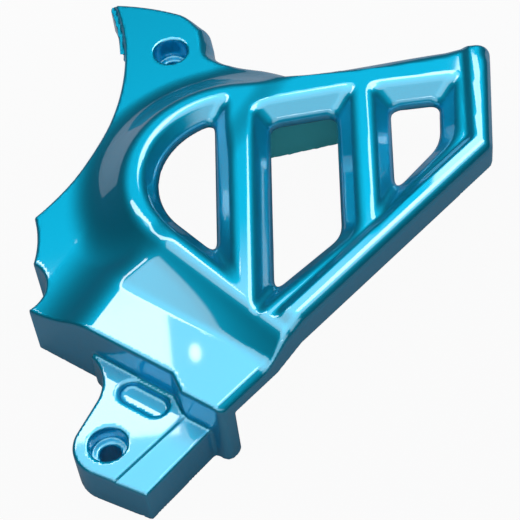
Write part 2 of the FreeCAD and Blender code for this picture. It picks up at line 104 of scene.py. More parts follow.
class Paint:
    """Node tree of one material or world, with one method for every node."""

    def __init__(self, owner):
        owner.use_nodes = True
        self.tree = owner.node_tree
        self.tree.nodes.clear()

    def node(self, kind, settings=None, inputs=None, output=0):
        made = self.tree.nodes.new(kind)
        for name, value in (settings or {}).items():
            setattr(made, name, value)
        for name, value in (inputs or {}).items():
            target = made.inputs[name]
            if isinstance(value, Socket):
                self.tree.links.new(value.socket, target)
            else:
                target.default_value = value
        return Socket(self, made.outputs[output]) if made.outputs else None


def ramp_between(value, low, high):
    """0 below low, 1 above high, a smooth step between."""
    inputs = {"Value": value, "From Min": low, "From Max": high}
    return value.paint.node("ShaderNodeMapRange", {"interpolation_type": "SMOOTHSTEP"}, inputs)


# Sizes and colours that a user would change


class ShellSettings(bpy.types.PropertyGroup):
    grid: bpy.props.FloatProperty(
        name="Net", description="Width of the net's cells, in millimetres", default=0.9)
    wall: bpy.props.FloatProperty(
        name="Wall", description="Wall of the shell, in millimetres", default=2.6)
    rim: bpy.props.FloatProperty(
        name="Rim rounding", description="Rounding of the shell's cut rims, in millimetres", default=0.9)


class LacquerSettings(bpy.types.PropertyGroup):
    colour: bpy.props.FloatVectorProperty(
        name="Lacquer", description="Colour of the metallic lacquer",
        subtype="COLOR", size=3, default=(0.004, 0.57, 0.88))
    inside: bpy.props.FloatVectorProperty(
        name="Inside", description="Colour of the bare inner side",
        subtype="COLOR", size=3, default=(0.13, 0.88, 0.94))
    flake: bpy.props.FloatProperty(
        name="Flake roughness", description="Spread of the light that the flakes throw back",
        subtype="FACTOR", default=0.48)
    gloss: bpy.props.FloatProperty(
        name="Clear coat roughness", description="Roughness of the clear coat",
        subtype="FACTOR", default=0.03)


class StudioSettings(bpy.types.PropertyGroup):
    softbox: bpy.props.FloatProperty(
        name="Softbox", description="Radiance of the large softbox at the left", default=3.4)
    strip: bpy.props.FloatProperty(
        name="Strip", description="Radiance of the narrow strip behind the camera", default=5.0)
    side: bpy.props.FloatProperty(
        name="Side lamp", description="Radiance of the lamp at the right", default=3.0)
    front: bpy.props.FloatProperty(
        name="Front", description="Brightness of the room behind the camera", default=0.9)
    dome: bpy.props.FloatProperty(
        name="Ceiling", description="Brightness of the ceiling overhead", default=1.2)
    floor: bpy.props.FloatVectorProperty(
        name="Floor", description="Colour of the floor beyond the object",
        subtype="COLOR", size=3, default=(0.42, 0.42, 0.47))


# Sizes of the shell, in millimetres and degrees


SHIFT = (45.7, 95.4, 0.0)
TAB_Z, FLANGE_Z, FLAT_Z, PANEL_Z, RAIL_Z = 16.5, 22.0, 30.0, 36.0, 39.0

# round end: edge of its panel, slope round it, blends at the slope's crest and foot
PANEL_RADIUS = 38.0
BULGE_START, BULGE_SLOPE = 1.5, 42.0
BULGE_CREST, BULGE_FOOT, FLANGE_FOOT = 2.2, 4.2, 2.1
FOOT_FADE = (FLANGE_Z - 1.0, FLANGE_Z + 12.0)
ARM_WIDENING, ARM_WIDENING_FADE = 9.0, (14.0, 50.0)

# gentle fall along the spoke to the lower flat, with the crease where round and straight touch
SPOKE_ANGLE, SPOKE_START, SPOKE_CREST, SPOKE_FOOT = 222.8, 0.6, 0.9, 0.7
TOUCH_ANGLE, TOUCH_BLEND = 228.5, 0.15
FLAT_RADIUS, FLAT_ANGLE, FLAT_EDGE, FLAT_RUN_ON = 57.8, 234.3, 0.2, 0.06
RAMP_ANGLE, RAMP_START, RAMP_SLOPE, RAMP_CREST, RAMP_FOOT = 148.6, 16.8, 34.0, 3.6, 8.0

# rail along the free end and the lower edge of the arm, and the strip folded down beside the flat
RAIL_OUT, RAIL_END_X, RAIL_END_Y, RAIL_LEAN, RAIL_CORNER = 52.6, 78.6, 4.2, 0.057, 1.2
RAIL_TOP_Y, RAIL_FOOT, RAIL_RISE = 48.4, -48.0, 0.75
RAIL_CREST, RAIL_BLEND, RAIL_SIDE = 2.0, 1.4, (-0.9, 3.0)
FOLD_OUT, FOLD_SLOPE, FOLD_FADE = 59.0, 0.62, (48.0, 54.0)

# roundings of the outer edge, added to the small one, and where each fades into the next
SMALL_CREST, HORN_CREST, THROAT_CREST, ARM_CREST, BACK_CREST, END_CREST = 1.3, 6.7, 1.4, 4.5, 4.0, 2.7
HORN_FADE = ((-22.0, -11.0), (58.0, 72.0))
THROAT_FADE = ((-14.0, -2.0), (38.0, 44.0))
ARM_FADE = ((2.0, 20.0), (36.0, 42.0))
BACK_START_X, BACK_END_X, END_X = (8.0, 18.0), (24.0, 80.0), (74.0, 82.0)
RAIL_FADE_OUT, RAIL_FADE_ALONG = (50.0, 54.0), (-50.0, -38.0)
STEEPEST = 1.5

# windows: lips in plan, depth of the flare, draft of the wall under it, foot of the frame
ROUND_WINDOW, WINDOW_BAR, WINDOW_ROUNDING = 28.8, -7.9, 4.2
MIDDLE_WINDOW = [(10.8, 23.3), (9.7, -51.0), (34.1, -29.2), (35.3, 26.2)]
END_WINDOW = [(53.4, 27.2), (52.1, -12.4), (70.3, 8.0), (71.8, 28.2)]
FLARE, DRAFT, FLARE_FOOT = 4.8, 0.268, 0.9
FRAME_FOOT, FRAME_CREST, FRAME_SCALE = 27.8, 1.6, 0.8

# bite of the engine side, the room along it, the web under it, and the throat of the horn
BITE_CENTRE, BITE_RADIUS = (-143.3, 69.7), 100.9
BITE_ROOM, BITE_GAP, BITE_OVERCUT = (-44.6, 15.6), 0.3, 2
MM_PER_DEGREE = 1.75
WEB_END, WEB_MIDDLE, WEB_HALF, WEB_TOP, WEB_BLEND = 17.1, -0.7, 1.3, 20.6, 0.5
THROAT_CENTRE, THROAT_RADIUS = (8.0, 76.5), 17.4

# lower rim of the skirt: places and the heights there, and where each cut begins
TOP_RIM = ([36, 40, 46, 54, 71, 88, 110], [-1, 5.5, 10.2, 14, 18.5, 22.5, 23.5])
END_RIM = ([0, 50], [27, 23])
SIDE_RIM = ([-48, -36], [23, 27])
HORN_RIM = ([57, 64], [0, 8])
WEB_RIM = ([73.5, 99.4], [WEB_TOP, 8])
TOP_CUT, END_CUT_X, HORN_CUT = (36, 30), 75, (15, 57)
SIDE_CUT_OUT, SIDE_CUT_FOOT, SIDE_CUT_CORNER = 53.9, -67.2, 3.0

# upright rib behind the middle window
RIB_PLACE, RIB_LEAN, RIB_HALF = (22.0, 37.4), 0.18, 1.3
RIB_ENDS, RIB_CORNER, RIB_BLEND = (2.0, 37.5), 4.0, 0.8

# tab: rounding of its edge, crease across it and drop of the facet beyond
TAB_CREST, TAB_CREASE, TAB_DROP = 1.2, (46.2, 47.3), 0.8
INNER_CREST = 0.3

# screws: holes, seats for the heads, walls round them, feet of the sleeves
TAB_HOLE, HORN_HOLE = (-45.7, -95.4), (-25.2, 71.8)
SCREW_RADIUS, HEAD_RADIUS, BOSS_WALL = 3.5, 6.2, 2.2
HEAD_DEPTHS, SLEEVE_FEET = (6.0, 9.0), (0.0, 4.0)
CUP_TOP, CUP_BLEND, CUP_BLEND_TOP, NO_BLEND = 0.5, 1.4, 1.6, 0.01
SEAT_CORNER, SEAT_CREST = 0.6, 1.0

# pocket in the tab
POCKET, POCKET_ANGLE, POCKET_HALF, POCKET_RADIUS, POCKET_DEPTH = (-34.4, -78.9), -35.0, 5.0, 3.75, 2.5
POCKET_CORNER, POCKET_CREST = 1.0, 2.0
SUNK_MARGIN = 1.5

# box of the net, moves of its points onto the field, and the reach of a slope
NET_LOW, NET_HIGH = np.array([-75.0, -117.0, -1.9]), np.array([93.0, 102.0, 41.0])
NET_MOVES, NET_MOVE_LIMIT, LEAST_SLOPE = 2, 0.4, 0.05
SLOPE_REACH, STEEPNESS_REACH = 0.05, 0.5
BARE_FADE = (-0.6, 0.2)


# Blends of distances: negative inside, positive outside


def largest(values):
    result = values[0]
    for value in values[1:]:
        result = np.maximum(result, value)
    return result


def smooth_max(a, b, width):
    """The larger of two values, raised by the square of what the width exceeds their difference by,
    over four widths."""
    near = np.maximum(width - np.abs(a - b), 0.0) / width
    return np.maximum(a, b) + near * near * width / 4.0


def smooth_min(a, b, width):
    return -smooth_max(-a, -b, width)


def round_edge(a, b, radius):
    """What lies inside both, with its edge rounded to the radius: there the distance is the
    hypotenuse of the two distances from the rounding's axis, less the radius."""
    over_a = np.maximum(a + radius, 0.0)
    over_b = np.maximum(b + radius, 0.0)
    return np.minimum(np.maximum(a, b) + radius, 0.0) + np.hypot(over_a, over_b) - radius


def step(value, low, high):
    """0 below low, 1 above high; between them three times the share squared, less twice its cube."""
    share = np.clip((value - low) / (high - low), 0.0, 1.0)
    return share * share * (3.0 - 2.0 * share)


def toward(x, y, degrees):
    """How far a point lies from the sprocket's axis in a direction."""
    angle = math.radians(degrees)
    return x * math.cos(angle) + y * math.sin(angle)


def past(x, y, degrees):
    """True on the far side of a ray from the axis, going round anticlockwise."""
    return toward(x, y, degrees + 90) > 0


def at(centre, radius, degrees):
    """Point on a circle."""
    angle = math.radians(degrees)
    return (centre[0] + radius * math.cos(angle), centre[1] + radius * math.sin(angle))


# Outlines in plan


def circle_through(a, b, c):
    """Centre and radius of the circle through three points."""
    (ax, ay), (bx, by), (cx, cy) = a, b, c
    twice = 2.0 * (ax * (by - cy) + bx * (cy - ay) + cx * (ay - by))
    a2, b2, c2 = ax * ax + ay * ay, bx * bx + by * by, cx * cx + cy * cy
    x = (a2 * (by - cy) + b2 * (cy - ay) + c2 * (ay - by)) / twice
    y = (a2 * (cx - bx) + b2 * (ax - cx) + c2 * (bx - ax)) / twice
    return (x, y), math.hypot(ax - x, ay - y)


def mid(point):
    """Marks a point as the middle of an arc between its two neighbours."""
    return (*point, None)


def outline(points):
    """Lines and arcs of a closed outline, each as start, middle or None, and end.

    A point is (x, y), or (x, y, radius) for a rounded corner, or comes from mid(). A rounded corner
    starts and ends at its radius over the tangent of half its angle.
    """
    count = len(points)
    starts = [p[:2] for p in points]
    ends = [p[:2] for p in points]
    pieces = []
    for i, point in enumerate(points):
        if len(point) < 3 or point[2] is None:
            continue
        here = Vector(point[:2])
        back = (Vector(points[i - 1][:2]) - here).normalized()
        onward = (Vector(points[(i + 1) % count][:2]) - here).normalized()
        half = back.angle(onward) / 2.0
        axis = (back + onward).normalized()
        starts[i] = tuple(here + back * (point[2] / math.tan(half)))
        ends[i] = tuple(here + onward * (point[2] / math.tan(half)))
        middle = here + axis * (point[2] / math.sin(half) - point[2])
        pieces.append((starts[i], tuple(middle), ends[i]))
    for i, point in enumerate(points):
        after = (i + 1) % count
        if len(point) == 3 and point[2] is None:
            continue
        if len(points[after]) == 3 and points[after][2] is None:
            pieces.append((ends[i], points[after][:2], starts[(i + 2) % count]))
        else:
            pieces.append((ends[i], None, starts[after]))
    return pieces


def outline_distance(x, y, pieces):
    """Distance to a closed outline, negative inside.

    The size is the least distance to its lines and arcs. The sign counts the chords that a ray to
    the right crosses, and turns over once more between an arc and its chord.
    """
    nearest = np.full(np.broadcast(x, y).shape, 1e9)
    inside = np.zeros(nearest.shape, bool)
    for (ax, ay), middle, (bx, by) in pieces:
        ux, uy = bx - ax, by - ay
        if ay != by:
            inside ^= ((ay > y) != (by > y)) & (x < ax + ux * (y - ay) / uy)
        if middle is None:
            share = np.clip(((x - ax) * ux + (y - ay) * uy) / (ux * ux + uy * uy), 0.0, 1.0)
            nearest = np.minimum(nearest, np.hypot(x - ax - share * ux, y - ay - share * uy))
            continue
        (cx, cy), radius = circle_through((ax, ay), middle, (bx, by))
        side = ux * (middle[1] - ay) - uy * (middle[0] - ax)
        reach = np.hypot(x - cx, y - cy)
        inside ^= ((ux * (y - ay) - uy * (x - ax)) * side > 0) & (reach < radius)
        scale = radius / np.maximum(reach, 1e-9)
        px, py = cx + (x - cx) * scale, cy + (y - cy) * scale
        faces_arc = (ux * (py - ay) - uy * (px - ax)) * side > 0
        ends = np.minimum(np.hypot(x - ax, y - ay), np.hypot(x - bx, y - by))
        nearest = np.minimum(nearest, np.where(faces_arc, np.abs(reach - radius), ends))
    return np.where(inside, -nearest, nearest)


def shell_outline():
    """Outline of the shell: bite, two scallops, stepped front, arm, throat and horn."""
    bite = [at(BITE_CENTRE, BITE_RADIUS, WEB_END), mid(at(BITE_CENTRE, BITE_RADIUS, -14.5))]
    scallops = [(-73.0, -3.6), mid((-71.5, -14.5)), (-72.4, -24.2), mid((-67.6, -33.0)), (-73.4, -43.8)]
    front = [(-23.9, -78.9, 3.0), (-20.9, -86.5, 2.0), (-8.0, -95.5, 3.0)]
    arm = [(86.84, -0.66, 5.0), (91.2, 50.2, 5.0), (22.6, 45.2, 12.0)]
    throat = [at(THROAT_CENTRE, THROAT_RADIUS, 235.0), mid(at(THROAT_CENTRE, THROAT_RADIUS, 207.5))]
    horn = [(-9.4, 76.5), (-10.8, 84.8, 4.5), (-16.0, 88.3), mid((-32.0, 95.8))]
    return outline(bite + scallops + front + arm + throat + horn)


def tab_outline():
    """Outline of the low tab, reaching back under the front wall."""
    bay, bay_radius, tip_radius = (-64.2, -71.5), 16.0, 11.5
    corner = (-33.2, -115.0)
    side = [(-44.0, -48.0), at(bay, bay_radius, 42.0), mid(at(bay, bay_radius, 5.0)),
            at(bay, bay_radius, -24.0)]
    tip = [at(TAB_HOLE, tip_radius, 156.0), mid(at(TAB_HOLE, tip_radius, 200.0)),
           at(TAB_HOLE, tip_radius, 243.0)]
    return outline(side + tip + [(*corner, 0.8), at(corner, 44.0, 47.6)])


def four_sided(x, y, corners):
    """Distance to a four-sided opening whose corners keep their rounding however far it widens: the
    blended largest of the distances to its sides."""
    distance = None
    for (ax, ay), (bx, by) in zip(corners, corners[1:] + corners[:1]):
        length = math.hypot(bx - ax, by - ay)
        side = ((x - ax) * (ay - by) + (y - ay) * (bx - ax)) / -length
        distance = side if distance is None else smooth_max(distance, side, WINDOW_ROUNDING)
    return distance


def round_opening(x, y):
    """Distance to the round window: its arc, the tangent below it and its straight bar."""
    tangent = toward(x, y, SPOKE_ANGLE)
    around = np.where(past(x, y, SPOKE_ANGLE), tangent, np.hypot(x, y)) - ROUND_WINDOW
    return smooth_max(around, x - WINDOW_BAR, WINDOW_ROUNDING)


SHELL_OUTLINE = shell_outline()
TAB_OUTLINE = tab_outline()


# Outer face


def bulge_height(x, y, straight, round_side):
    """The panel's height, less the distance past its edge times the tangent of the bulge's slope."""
    arm_side = y - PANEL_RADIUS - ARM_WIDENING * step(x, *ARM_WIDENING_FADE)
    out = np.where(x > 0, np.maximum(arm_side, straight), round_side)
    slope = math.tan(math.radians(BULGE_SLOPE))
    return smooth_min(PANEL_Z, PANEL_Z - (out - BULGE_START) * slope, BULGE_CREST)


def ground_height(x, y, straight, round_side):
    """Spoke, lower flat, ramp and flange.

    The spoke falls from the panel to the flat by the share of the way between their edges, so it is
    ruled by straight lines that fan round the bulge. The ramp falls from the flat by the way along
    it times the tangent of its slope, and the flange is level.
    """
    radius = np.hypot(x, y)
    start = np.where(x > 0, straight, round_side) - SPOKE_START
    turned = step(toward(x, y, TOUCH_ANGLE + 90) / np.maximum(radius, 1.0), -TOUCH_BLEND, TOUCH_BLEND)
    flat_side = radius - FLAT_EDGE - toward(x, y, FLAT_ANGLE)
    to_flat = FLAT_RADIUS + FLAT_EDGE - radius + turned * flat_side
    share = start / np.maximum(start + to_flat, 1.0)
    share = np.where(to_flat < 0, 1.0 - to_flat * FLAT_RUN_ON, share)
    spoke = smooth_min(PANEL_Z, PANEL_Z - (PANEL_Z - FLAT_Z) * share, SPOKE_CREST)
    high = smooth_max(FLAT_Z, spoke, SPOKE_FOOT)
    climb = FLAT_Z - (toward(x, y, RAMP_ANGLE) - RAMP_START) * math.tan(math.radians(RAMP_SLOPE))
    return smooth_max(FLANGE_Z, smooth_min(high, climb, RAMP_CREST), RAMP_FOOT)


def top_height(x, y):
    """Height of the outer face: the blended larger of the bulge and the ground round it, raised to
    the rail along the free edges. Beyond the fold it falls by the distance past the fold times a
    steady slope.
    """
    across, along = toward(x, y, -45), toward(x, y, 45)
    straight = toward(x, y, SPOKE_ANGLE) - PANEL_RADIUS
    round_side = np.where(past(x, y, SPOKE_ANGLE), straight, np.hypot(x, y) - PANEL_RADIUS)
    ground = ground_height(x, y, straight, round_side)
    foot = BULGE_FOOT + FLANGE_FOOT * (1 - step(ground, *FOOT_FADE))
    height = smooth_max(ground, bulge_height(x, y, straight, round_side), foot)

    end_side = x - RAIL_END_X - RAIL_LEAN * (y - RAIL_END_Y)
    edge = np.minimum(smooth_max(across - RAIL_OUT, end_side, RAIL_CORNER), RAIL_TOP_Y - y)
    rail = smooth_min(RAIL_Z, FLAT_Z + RAIL_RISE * (along - RAIL_FOOT), RAIL_CREST)
    height = height + smooth_max(rail - height, 0.0, RAIL_BLEND) * step(edge, *RAIL_SIDE)
    return height - FOLD_SLOPE * np.maximum(across - FOLD_OUT, 0.0) * step(-along, *FOLD_FADE)


def steepness(x, y):
    """How much further a wall reaches upright than square to the outer face: the root of one plus
    the squares of the face's two slopes, and no more than STEEPEST."""
    reach = STEEPNESS_REACH
    rise = (top_height(x + reach, y) - top_height(x - reach, y)) / (2 * reach)
    climb = (top_height(x, y + reach) - top_height(x, y - reach)) / (2 * reach)
    return np.minimum(np.sqrt(1.0 + rise * rise + climb * climb), STEEPEST)


def crest_radius(x, y):
    """Rounding of the outer edge: the small one, and a broader one added where its fades reach."""
    across, along = toward(x, y, -45), toward(x, y, 45)
    free_end, beside_rail = step(x, *END_X), step(across, *RAIL_FADE_OUT)
    horn = HORN_CREST * step(x, *HORN_FADE[0]) * step(y, *HORN_FADE[1])
    throat = THROAT_CREST * step(x, *THROAT_FADE[0]) * step(y, *THROAT_FADE[1])
    arm = ARM_CREST * step(x, *ARM_FADE[0]) * (1 - free_end)
    arm = arm + BACK_CREST * step(x, *BACK_START_X) * (1 - step(x, *BACK_END_X))
    rail = END_CREST * beside_rail * step(along, *RAIL_FADE_ALONG)
    end = END_CREST * free_end * (1 - beside_rail)
    return SMALL_CREST + np.maximum(horn, throat + arm * step(y, *ARM_FADE[1]) + rail + end)


def plan_fields(x, y):
    """All that depends only on the place in plan."""
    across, along = toward(x, y, -45), toward(x, y, 45)
    bite_x, bite_y = x - BITE_CENTRE[0], y - BITE_CENTRE[1]
    pocket_x, pocket_y = x - POCKET[0], y - POCKET[1]
    pocket_along = np.maximum(np.abs(toward(pocket_x, pocket_y, POCKET_ANGLE)) - POCKET_HALF, 0.0)
    pocket_out = toward(pocket_x, pocket_y, POCKET_ANGLE + 90)
    return {
        "shell": outline_distance(x, y, SHELL_OUTLINE),
        "tab": outline_distance(x, y, TAB_OUTLINE),
        "windows": [round_opening(x, y), four_sided(x, y, MIDDLE_WINDOW), four_sided(x, y, END_WINDOW)],
        "top": top_height(x, y),
        "crest": crest_radius(x, y),
        "steep": steepness(x, y),
        "across": across,
        "along": along,
        "tab_top": TAB_Z - TAB_DROP * step(across, *TAB_CREASE),
        "bite": np.hypot(bite_x, bite_y) - BITE_RADIUS,
        "bite_angle": np.degrees(np.arctan2(bite_y, bite_x)),
        "screws": [np.hypot(x - hx, y - hy) for hx, hy in (TAB_HOLE, HORN_HOLE)],
        "pocket": np.hypot(pocket_along, pocket_out) - POCKET_RADIUS,
        "top_rim": np.interp(x, *TOP_RIM),
        "end_rim": np.interp(y, *END_RIM),
        "side_rim": np.interp(along, *SIDE_RIM),
        "horn_rim": np.interp(y, *HORN_RIM),
        "web_rim": np.interp(y, *WEB_RIM),
    }


# Cuts, walls and the whole skin


def window_cutter(lip, z, grow):
    """Window that widens at 45 degrees above its lip, and narrows by its draft below: the distance
    to the lip, less the height over it, or less that height times the draft under it."""
    over = z - PANEL_Z + FLARE
    return lip - smooth_max(over, over * DRAFT, FLARE_FOOT) - grow


def rim_cuts(f, x, y, z):
    """Blocks that cut the skirt short under the arm, its free end, the lower flat and the horn."""
    return [
        largest([z - f["top_rim"], TOP_CUT[1] - y, TOP_CUT[0] - x]),
        largest([z - f["end_rim"], END_CUT_X - x]),
        largest([z - f["side_rim"], SIDE_CUT_OUT - f["across"],
                 -round_edge(-z, f["along"] - SIDE_CUT_FOOT, SIDE_CUT_CORNER)]),
        largest([z - f["horn_rim"], HORN_CUT[1] - y, x - HORN_CUT[0]]),
    ]


def bite_opening(f, z, wall):
    """Room along the big bite, where only the flange plate reaches the engine: a wall's width beyond
    the bite's circle, under the plate, between two angles about the circle's centre."""
    return largest([z - FLANGE_Z + wall, f["bite"] - wall - BITE_GAP, -f["bite"] - BITE_OVERCUT,
                    (f["bite_angle"] - BITE_ROOM[1]) * MM_PER_DEGREE,
                    (BITE_ROOM[0] - f["bite_angle"]) * MM_PER_DEGREE])


def horn_web(f, z):
    """Thin tapering web under the bite edge of the horn."""
    return largest([np.abs(f["bite"] - WEB_MIDDLE) - WEB_HALF, z - WEB_TOP, f["web_rim"] - z,
                    (f["bite_angle"] - WEB_END) * MM_PER_DEGREE, -f["bite_angle"]])


def window_rib(f, x, y, z):
    """Upright rib behind the middle window, from inside the panel down to the rim plane: a slanting
    plate of even thickness with one rounded lower corner."""
    middle = y - RIB_PLACE[1] - RIB_LEAN * (x - RIB_PLACE[0])
    return largest([np.abs(middle) - RIB_HALF, z - f["top"] + RIB_HALF, RIB_ENDS[0] - x,
                    round_edge(x - RIB_ENDS[1], -z, RIB_CORNER)])


def hollow_room(f, z, wall):
    """Room inside: both outer forms moved in by the wall, less a wall's width round each window."""
    inner_crest = np.maximum(f["crest"] - wall, INNER_CREST)
    hollow = round_edge(z - f["top"] + wall * f["steep"], f["shell"] + wall, inner_crest)
    hollow = np.minimum(hollow, round_edge(z - f["tab_top"] + wall, f["tab"] + wall, INNER_CREST))
    for lip in f["windows"]:
        frame_wall = np.maximum(window_cutter(lip, z, wall), FRAME_FOOT - z)
        hollow = np.maximum(hollow, -frame_wall)
    return hollow


def add_seats(body, f, z, wall):
    """Skin with a cup for each screw's head, a sleeve under it and the hole through both."""
    for reach, top, depth, foot in zip(f["screws"], (TAB_Z, FLANGE_Z), HEAD_DEPTHS, SLEEVE_FEET):
        seat = top - depth
        cup = largest([reach - HEAD_RADIUS - BOSS_WALL, z - top + CUP_TOP, seat - wall - z])
        sleeve = largest([reach - SCREW_RADIUS - BOSS_WALL, z - seat, foot - z])
        blend = np.where(z < top - CUP_BLEND_TOP, CUP_BLEND, NO_BLEND)
        body = smooth_min(body, np.minimum(cup, sleeve), blend)
        body = smooth_max(body, -round_edge(reach - HEAD_RADIUS, seat - z, SEAT_CORNER), SEAT_CREST)
        body = smooth_max(body, SCREW_RADIUS - reach, SEAT_CREST)
    return body


def add_pocket(body, f, z, wall):
    """Skin with the oblong pocket sunk into the tab, over a pad of the wall's thickness."""
    bottom = TAB_Z - POCKET_DEPTH
    pad = largest([f["pocket"] - wall, z - TAB_Z + wall / 2, bottom - wall - z])
    body = np.minimum(body, pad)
    return smooth_max(body, -round_edge(f["pocket"], bottom - z, POCKET_CORNER), POCKET_CREST)


def skin(f, x, y, z, wall, rim):
    """Field of the whole shell, and the field of its hollow, kept clear of the pocket and the seats.

    The shell is the outer face over its outline, joined with the tab, less the hollow, the cuts and
    the windows, each blended in by a width.
    """
    outer = round_edge(z - f["top"], f["shell"], f["crest"])
    tab = round_edge(z - f["tab_top"], f["tab"], TAB_CREST)
    body = smooth_max(smooth_min(outer, tab, TAB_CREST), -z, rim)

    hollow = hollow_room(f, z, wall)
    body = smooth_max(body, -hollow, rim)
    body = smooth_max(body, -bite_opening(f, z, wall), rim)
    for cut in rim_cuts(f, x, y, z):
        body = smooth_max(body, -cut, rim)
    body = smooth_min(body, horn_web(f, z), WEB_BLEND)
    body = smooth_min(body, window_rib(f, x, y, z), RIB_BLEND)

    body = add_seats(body, f, z, wall)
    body = add_pocket(body, f, z, wall)
    for lip in f["windows"]:
        body = smooth_max(body, -window_cutter(lip, z, 0.0) * FRAME_SCALE, FRAME_CREST)
    near_seats = [HEAD_RADIUS + SUNK_MARGIN - reach for reach in f["screws"]]
    sunk = largest([SUNK_MARGIN - f["pocket"]] + near_seats)
    return body, np.maximum(hollow, sunk)


# Net over the field


def surface_net(value, low, size):
    """Quads over the zero of a field on a grid: one vertex in each cell that it crosses, at the mean
    of the crossings on the cell's edges, and one quad round each grid edge that it crosses."""
    inside = value < 0
    nx, ny, nz = value.shape
    corners = np.zeros((nx - 1, ny - 1, nz - 1), np.int8)
    for i, j, k in np.ndindex(2, 2, 2):
        corners += inside[i:nx - 1 + i, j:ny - 1 + j, k:nz - 1 + k]
    crossed = (corners > 0) & (corners < 8)
    cell = np.stack(np.nonzero(crossed), 1)
    index = np.full(crossed.shape, -1)
    index[crossed] = np.arange(len(cell))
    total = np.zeros((len(cell), 3))
    hits = np.zeros((len(cell), 1))
    for axis in range(3):
        for p, q in np.ndindex(2, 2):
            start = np.insert(np.array([p, q]), axis, 0)
            end = np.insert(np.array([p, q]), axis, 1)
            a = value[tuple((cell + start).T)]
            b = value[tuple((cell + end).T)]
            hit = (a < 0) != (b < 0)
            share = np.where(hit, a / np.where(hit, a - b, 1.0), 0.0)
            total += hit[:, None] * (start + share[:, None] * (end - start))
            hits += hit[:, None]
    vertices = (cell + total / hits) * size + low
    quads = []
    for axis in range(3):
        near = inside.take(range(value.shape[axis] - 1), axis)
        far = inside.take(range(1, value.shape[axis]), axis)
        edge = np.stack(np.nonzero(near != far), 1)
        u, v = [(1, 2), (2, 0), (0, 1)][axis]
        ring = []
        for du, dv in ((-1, -1), (0, -1), (0, 0), (-1, 0)):
            place = edge.copy()
            place[:, u] += du
            place[:, v] += dv
            ring.append(index[tuple(place.T)])
        quad = np.stack(ring, 1)
        turned = ~near[tuple(edge.T)]
        quad[turned] = quad[turned, ::-1]
        quads.append(quad)
    return vertices, np.concatenate(quads)


def field_at(points, wall, rim):
    x, y, z = points.T
    return skin(plan_fields(x, y), x, y, z, wall, rim)


def field_slope(points, wall, rim):
    """Slope of the field at points: along each axis the value ahead, less the value behind, over the
    distance between them."""
    columns = []
    for ahead in np.eye(3) * SLOPE_REACH:
        higher = field_at(points + ahead, wall, rim)[0]
        lower = field_at(points - ahead, wall, rim)[0]
        columns.append((higher - lower) / (2 * SLOPE_REACH))
    return np.stack(columns, 1)


def grid_field(grid, wall, rim):
    """The skin's field on a whole grid, with the plan's fields worked out once for all heights."""
    gx, gy, gz = grid
    x, y = np.meshgrid(gx, gy, indexing="ij")
    fields = {}
    for name, field in plan_fields(x, y).items():
        listed = isinstance(field, list)
        fields[name] = [part[:, :, None] for part in field] if listed else field[:, :, None]
    return skin(fields, x[:, :, None], y[:, :, None], gz[None, None, :], wall, rim)[0]


def shell_surface(settings):
    """Vertices, quads, normals and the share of the hollow side, over the whole shell.

    The net's vertices move onto the field's zero by the field over its slope squared, along the
    slope. The normals are the field's slope there.
    """
    wall, rim = settings.wall, settings.rim
    size = settings.grid * 1.0
    grid = [np.arange(a, b + size, size) for a, b in zip(NET_LOW, NET_HIGH)]
    points, quads = surface_net(grid_field(grid, wall, rim), NET_LOW, size)
    for _ in range(NET_MOVES):
        slope = field_slope(points, wall, rim)
        square = np.maximum((slope * slope).sum(1), LEAST_SLOPE)
        move = -slope * (field_at(points, wall, rim)[0] / square)[:, None]
        length = np.linalg.norm(move, axis=1)
        share = np.minimum(1.0, NET_MOVE_LIMIT * size / np.maximum(length, 1e-9))
        points = points + move * share[:, None]
    normals = field_slope(points, wall, rim)
    normals /= np.linalg.norm(normals, axis=1)[:, None]
    hollow = field_at(points, wall, rim)[1]
    return points, quads, normals, step(-hollow, *BARE_FADE)


def net_object(name, points, quads, normals, bare):
    """Mesh object from arrays, smooth, with the given normals and the bare side as an attribute."""
    mesh = bpy.data.meshes.new(name)
    mesh.vertices.add(len(points))
    mesh.vertices.foreach_set("co", points.astype(np.float32).ravel())
    mesh.loops.add(quads.size)
    mesh.loops.foreach_set("vertex_index", quads.astype(np.int32).ravel())
    mesh.polygons.add(len(quads))
    mesh.polygons.foreach_set("loop_start", np.arange(0, quads.size, 4, dtype=np.int32))
    mesh.polygons.foreach_set("use_smooth", np.ones(len(quads), bool))
    mesh.attributes.new("bare", "FLOAT", "POINT").data.foreach_set("value", bare.astype(np.float32))
    mesh.update(calc_edges=True)
    mesh.validate()
    mesh.normals_split_custom_set_from_vertices(normals.astype(np.float32))
    piece = bpy.data.objects.new(name, mesh)
    bpy.context.scene.collection.objects.link(piece)
    return piece


# Lacquered shell


COAT_IOR = 2.3
BARE_METAL_LOSS, BARE_ROUGHNESS = 0.8, 0.25


def lacquer(settings):
    """Candy lacquer: coloured metal flakes under a clear coat; bare and matt on the hollow side."""
    material = bpy.data.materials.new("candy_lacquer")
    paint = Paint(material)
    bare = paint.node("ShaderNodeAttribute", {"attribute_name": "bare"}, output=2)
    colour = paint.node("ShaderNodeMix", {"data_type": "RGBA"}, {
        0: bare, 6: (*settings.colour, 1.0), 7: (*settings.inside, 1.0)}, output=2)
    shader = paint.node("ShaderNodeBsdfPrincipled", {}, {
        "Base Color": colour,
        "Metallic": 1.0 - bare * BARE_METAL_LOSS,
        "Roughness": settings.flake + bare * BARE_ROUGHNESS,
        "Coat Weight": 1 - bare,
        "Coat Roughness": settings.gloss,
        "Coat IOR": COAT_IOR,
    })
    paint.node("ShaderNodeOutputMaterial", {}, {"Surface": shader})
    return material


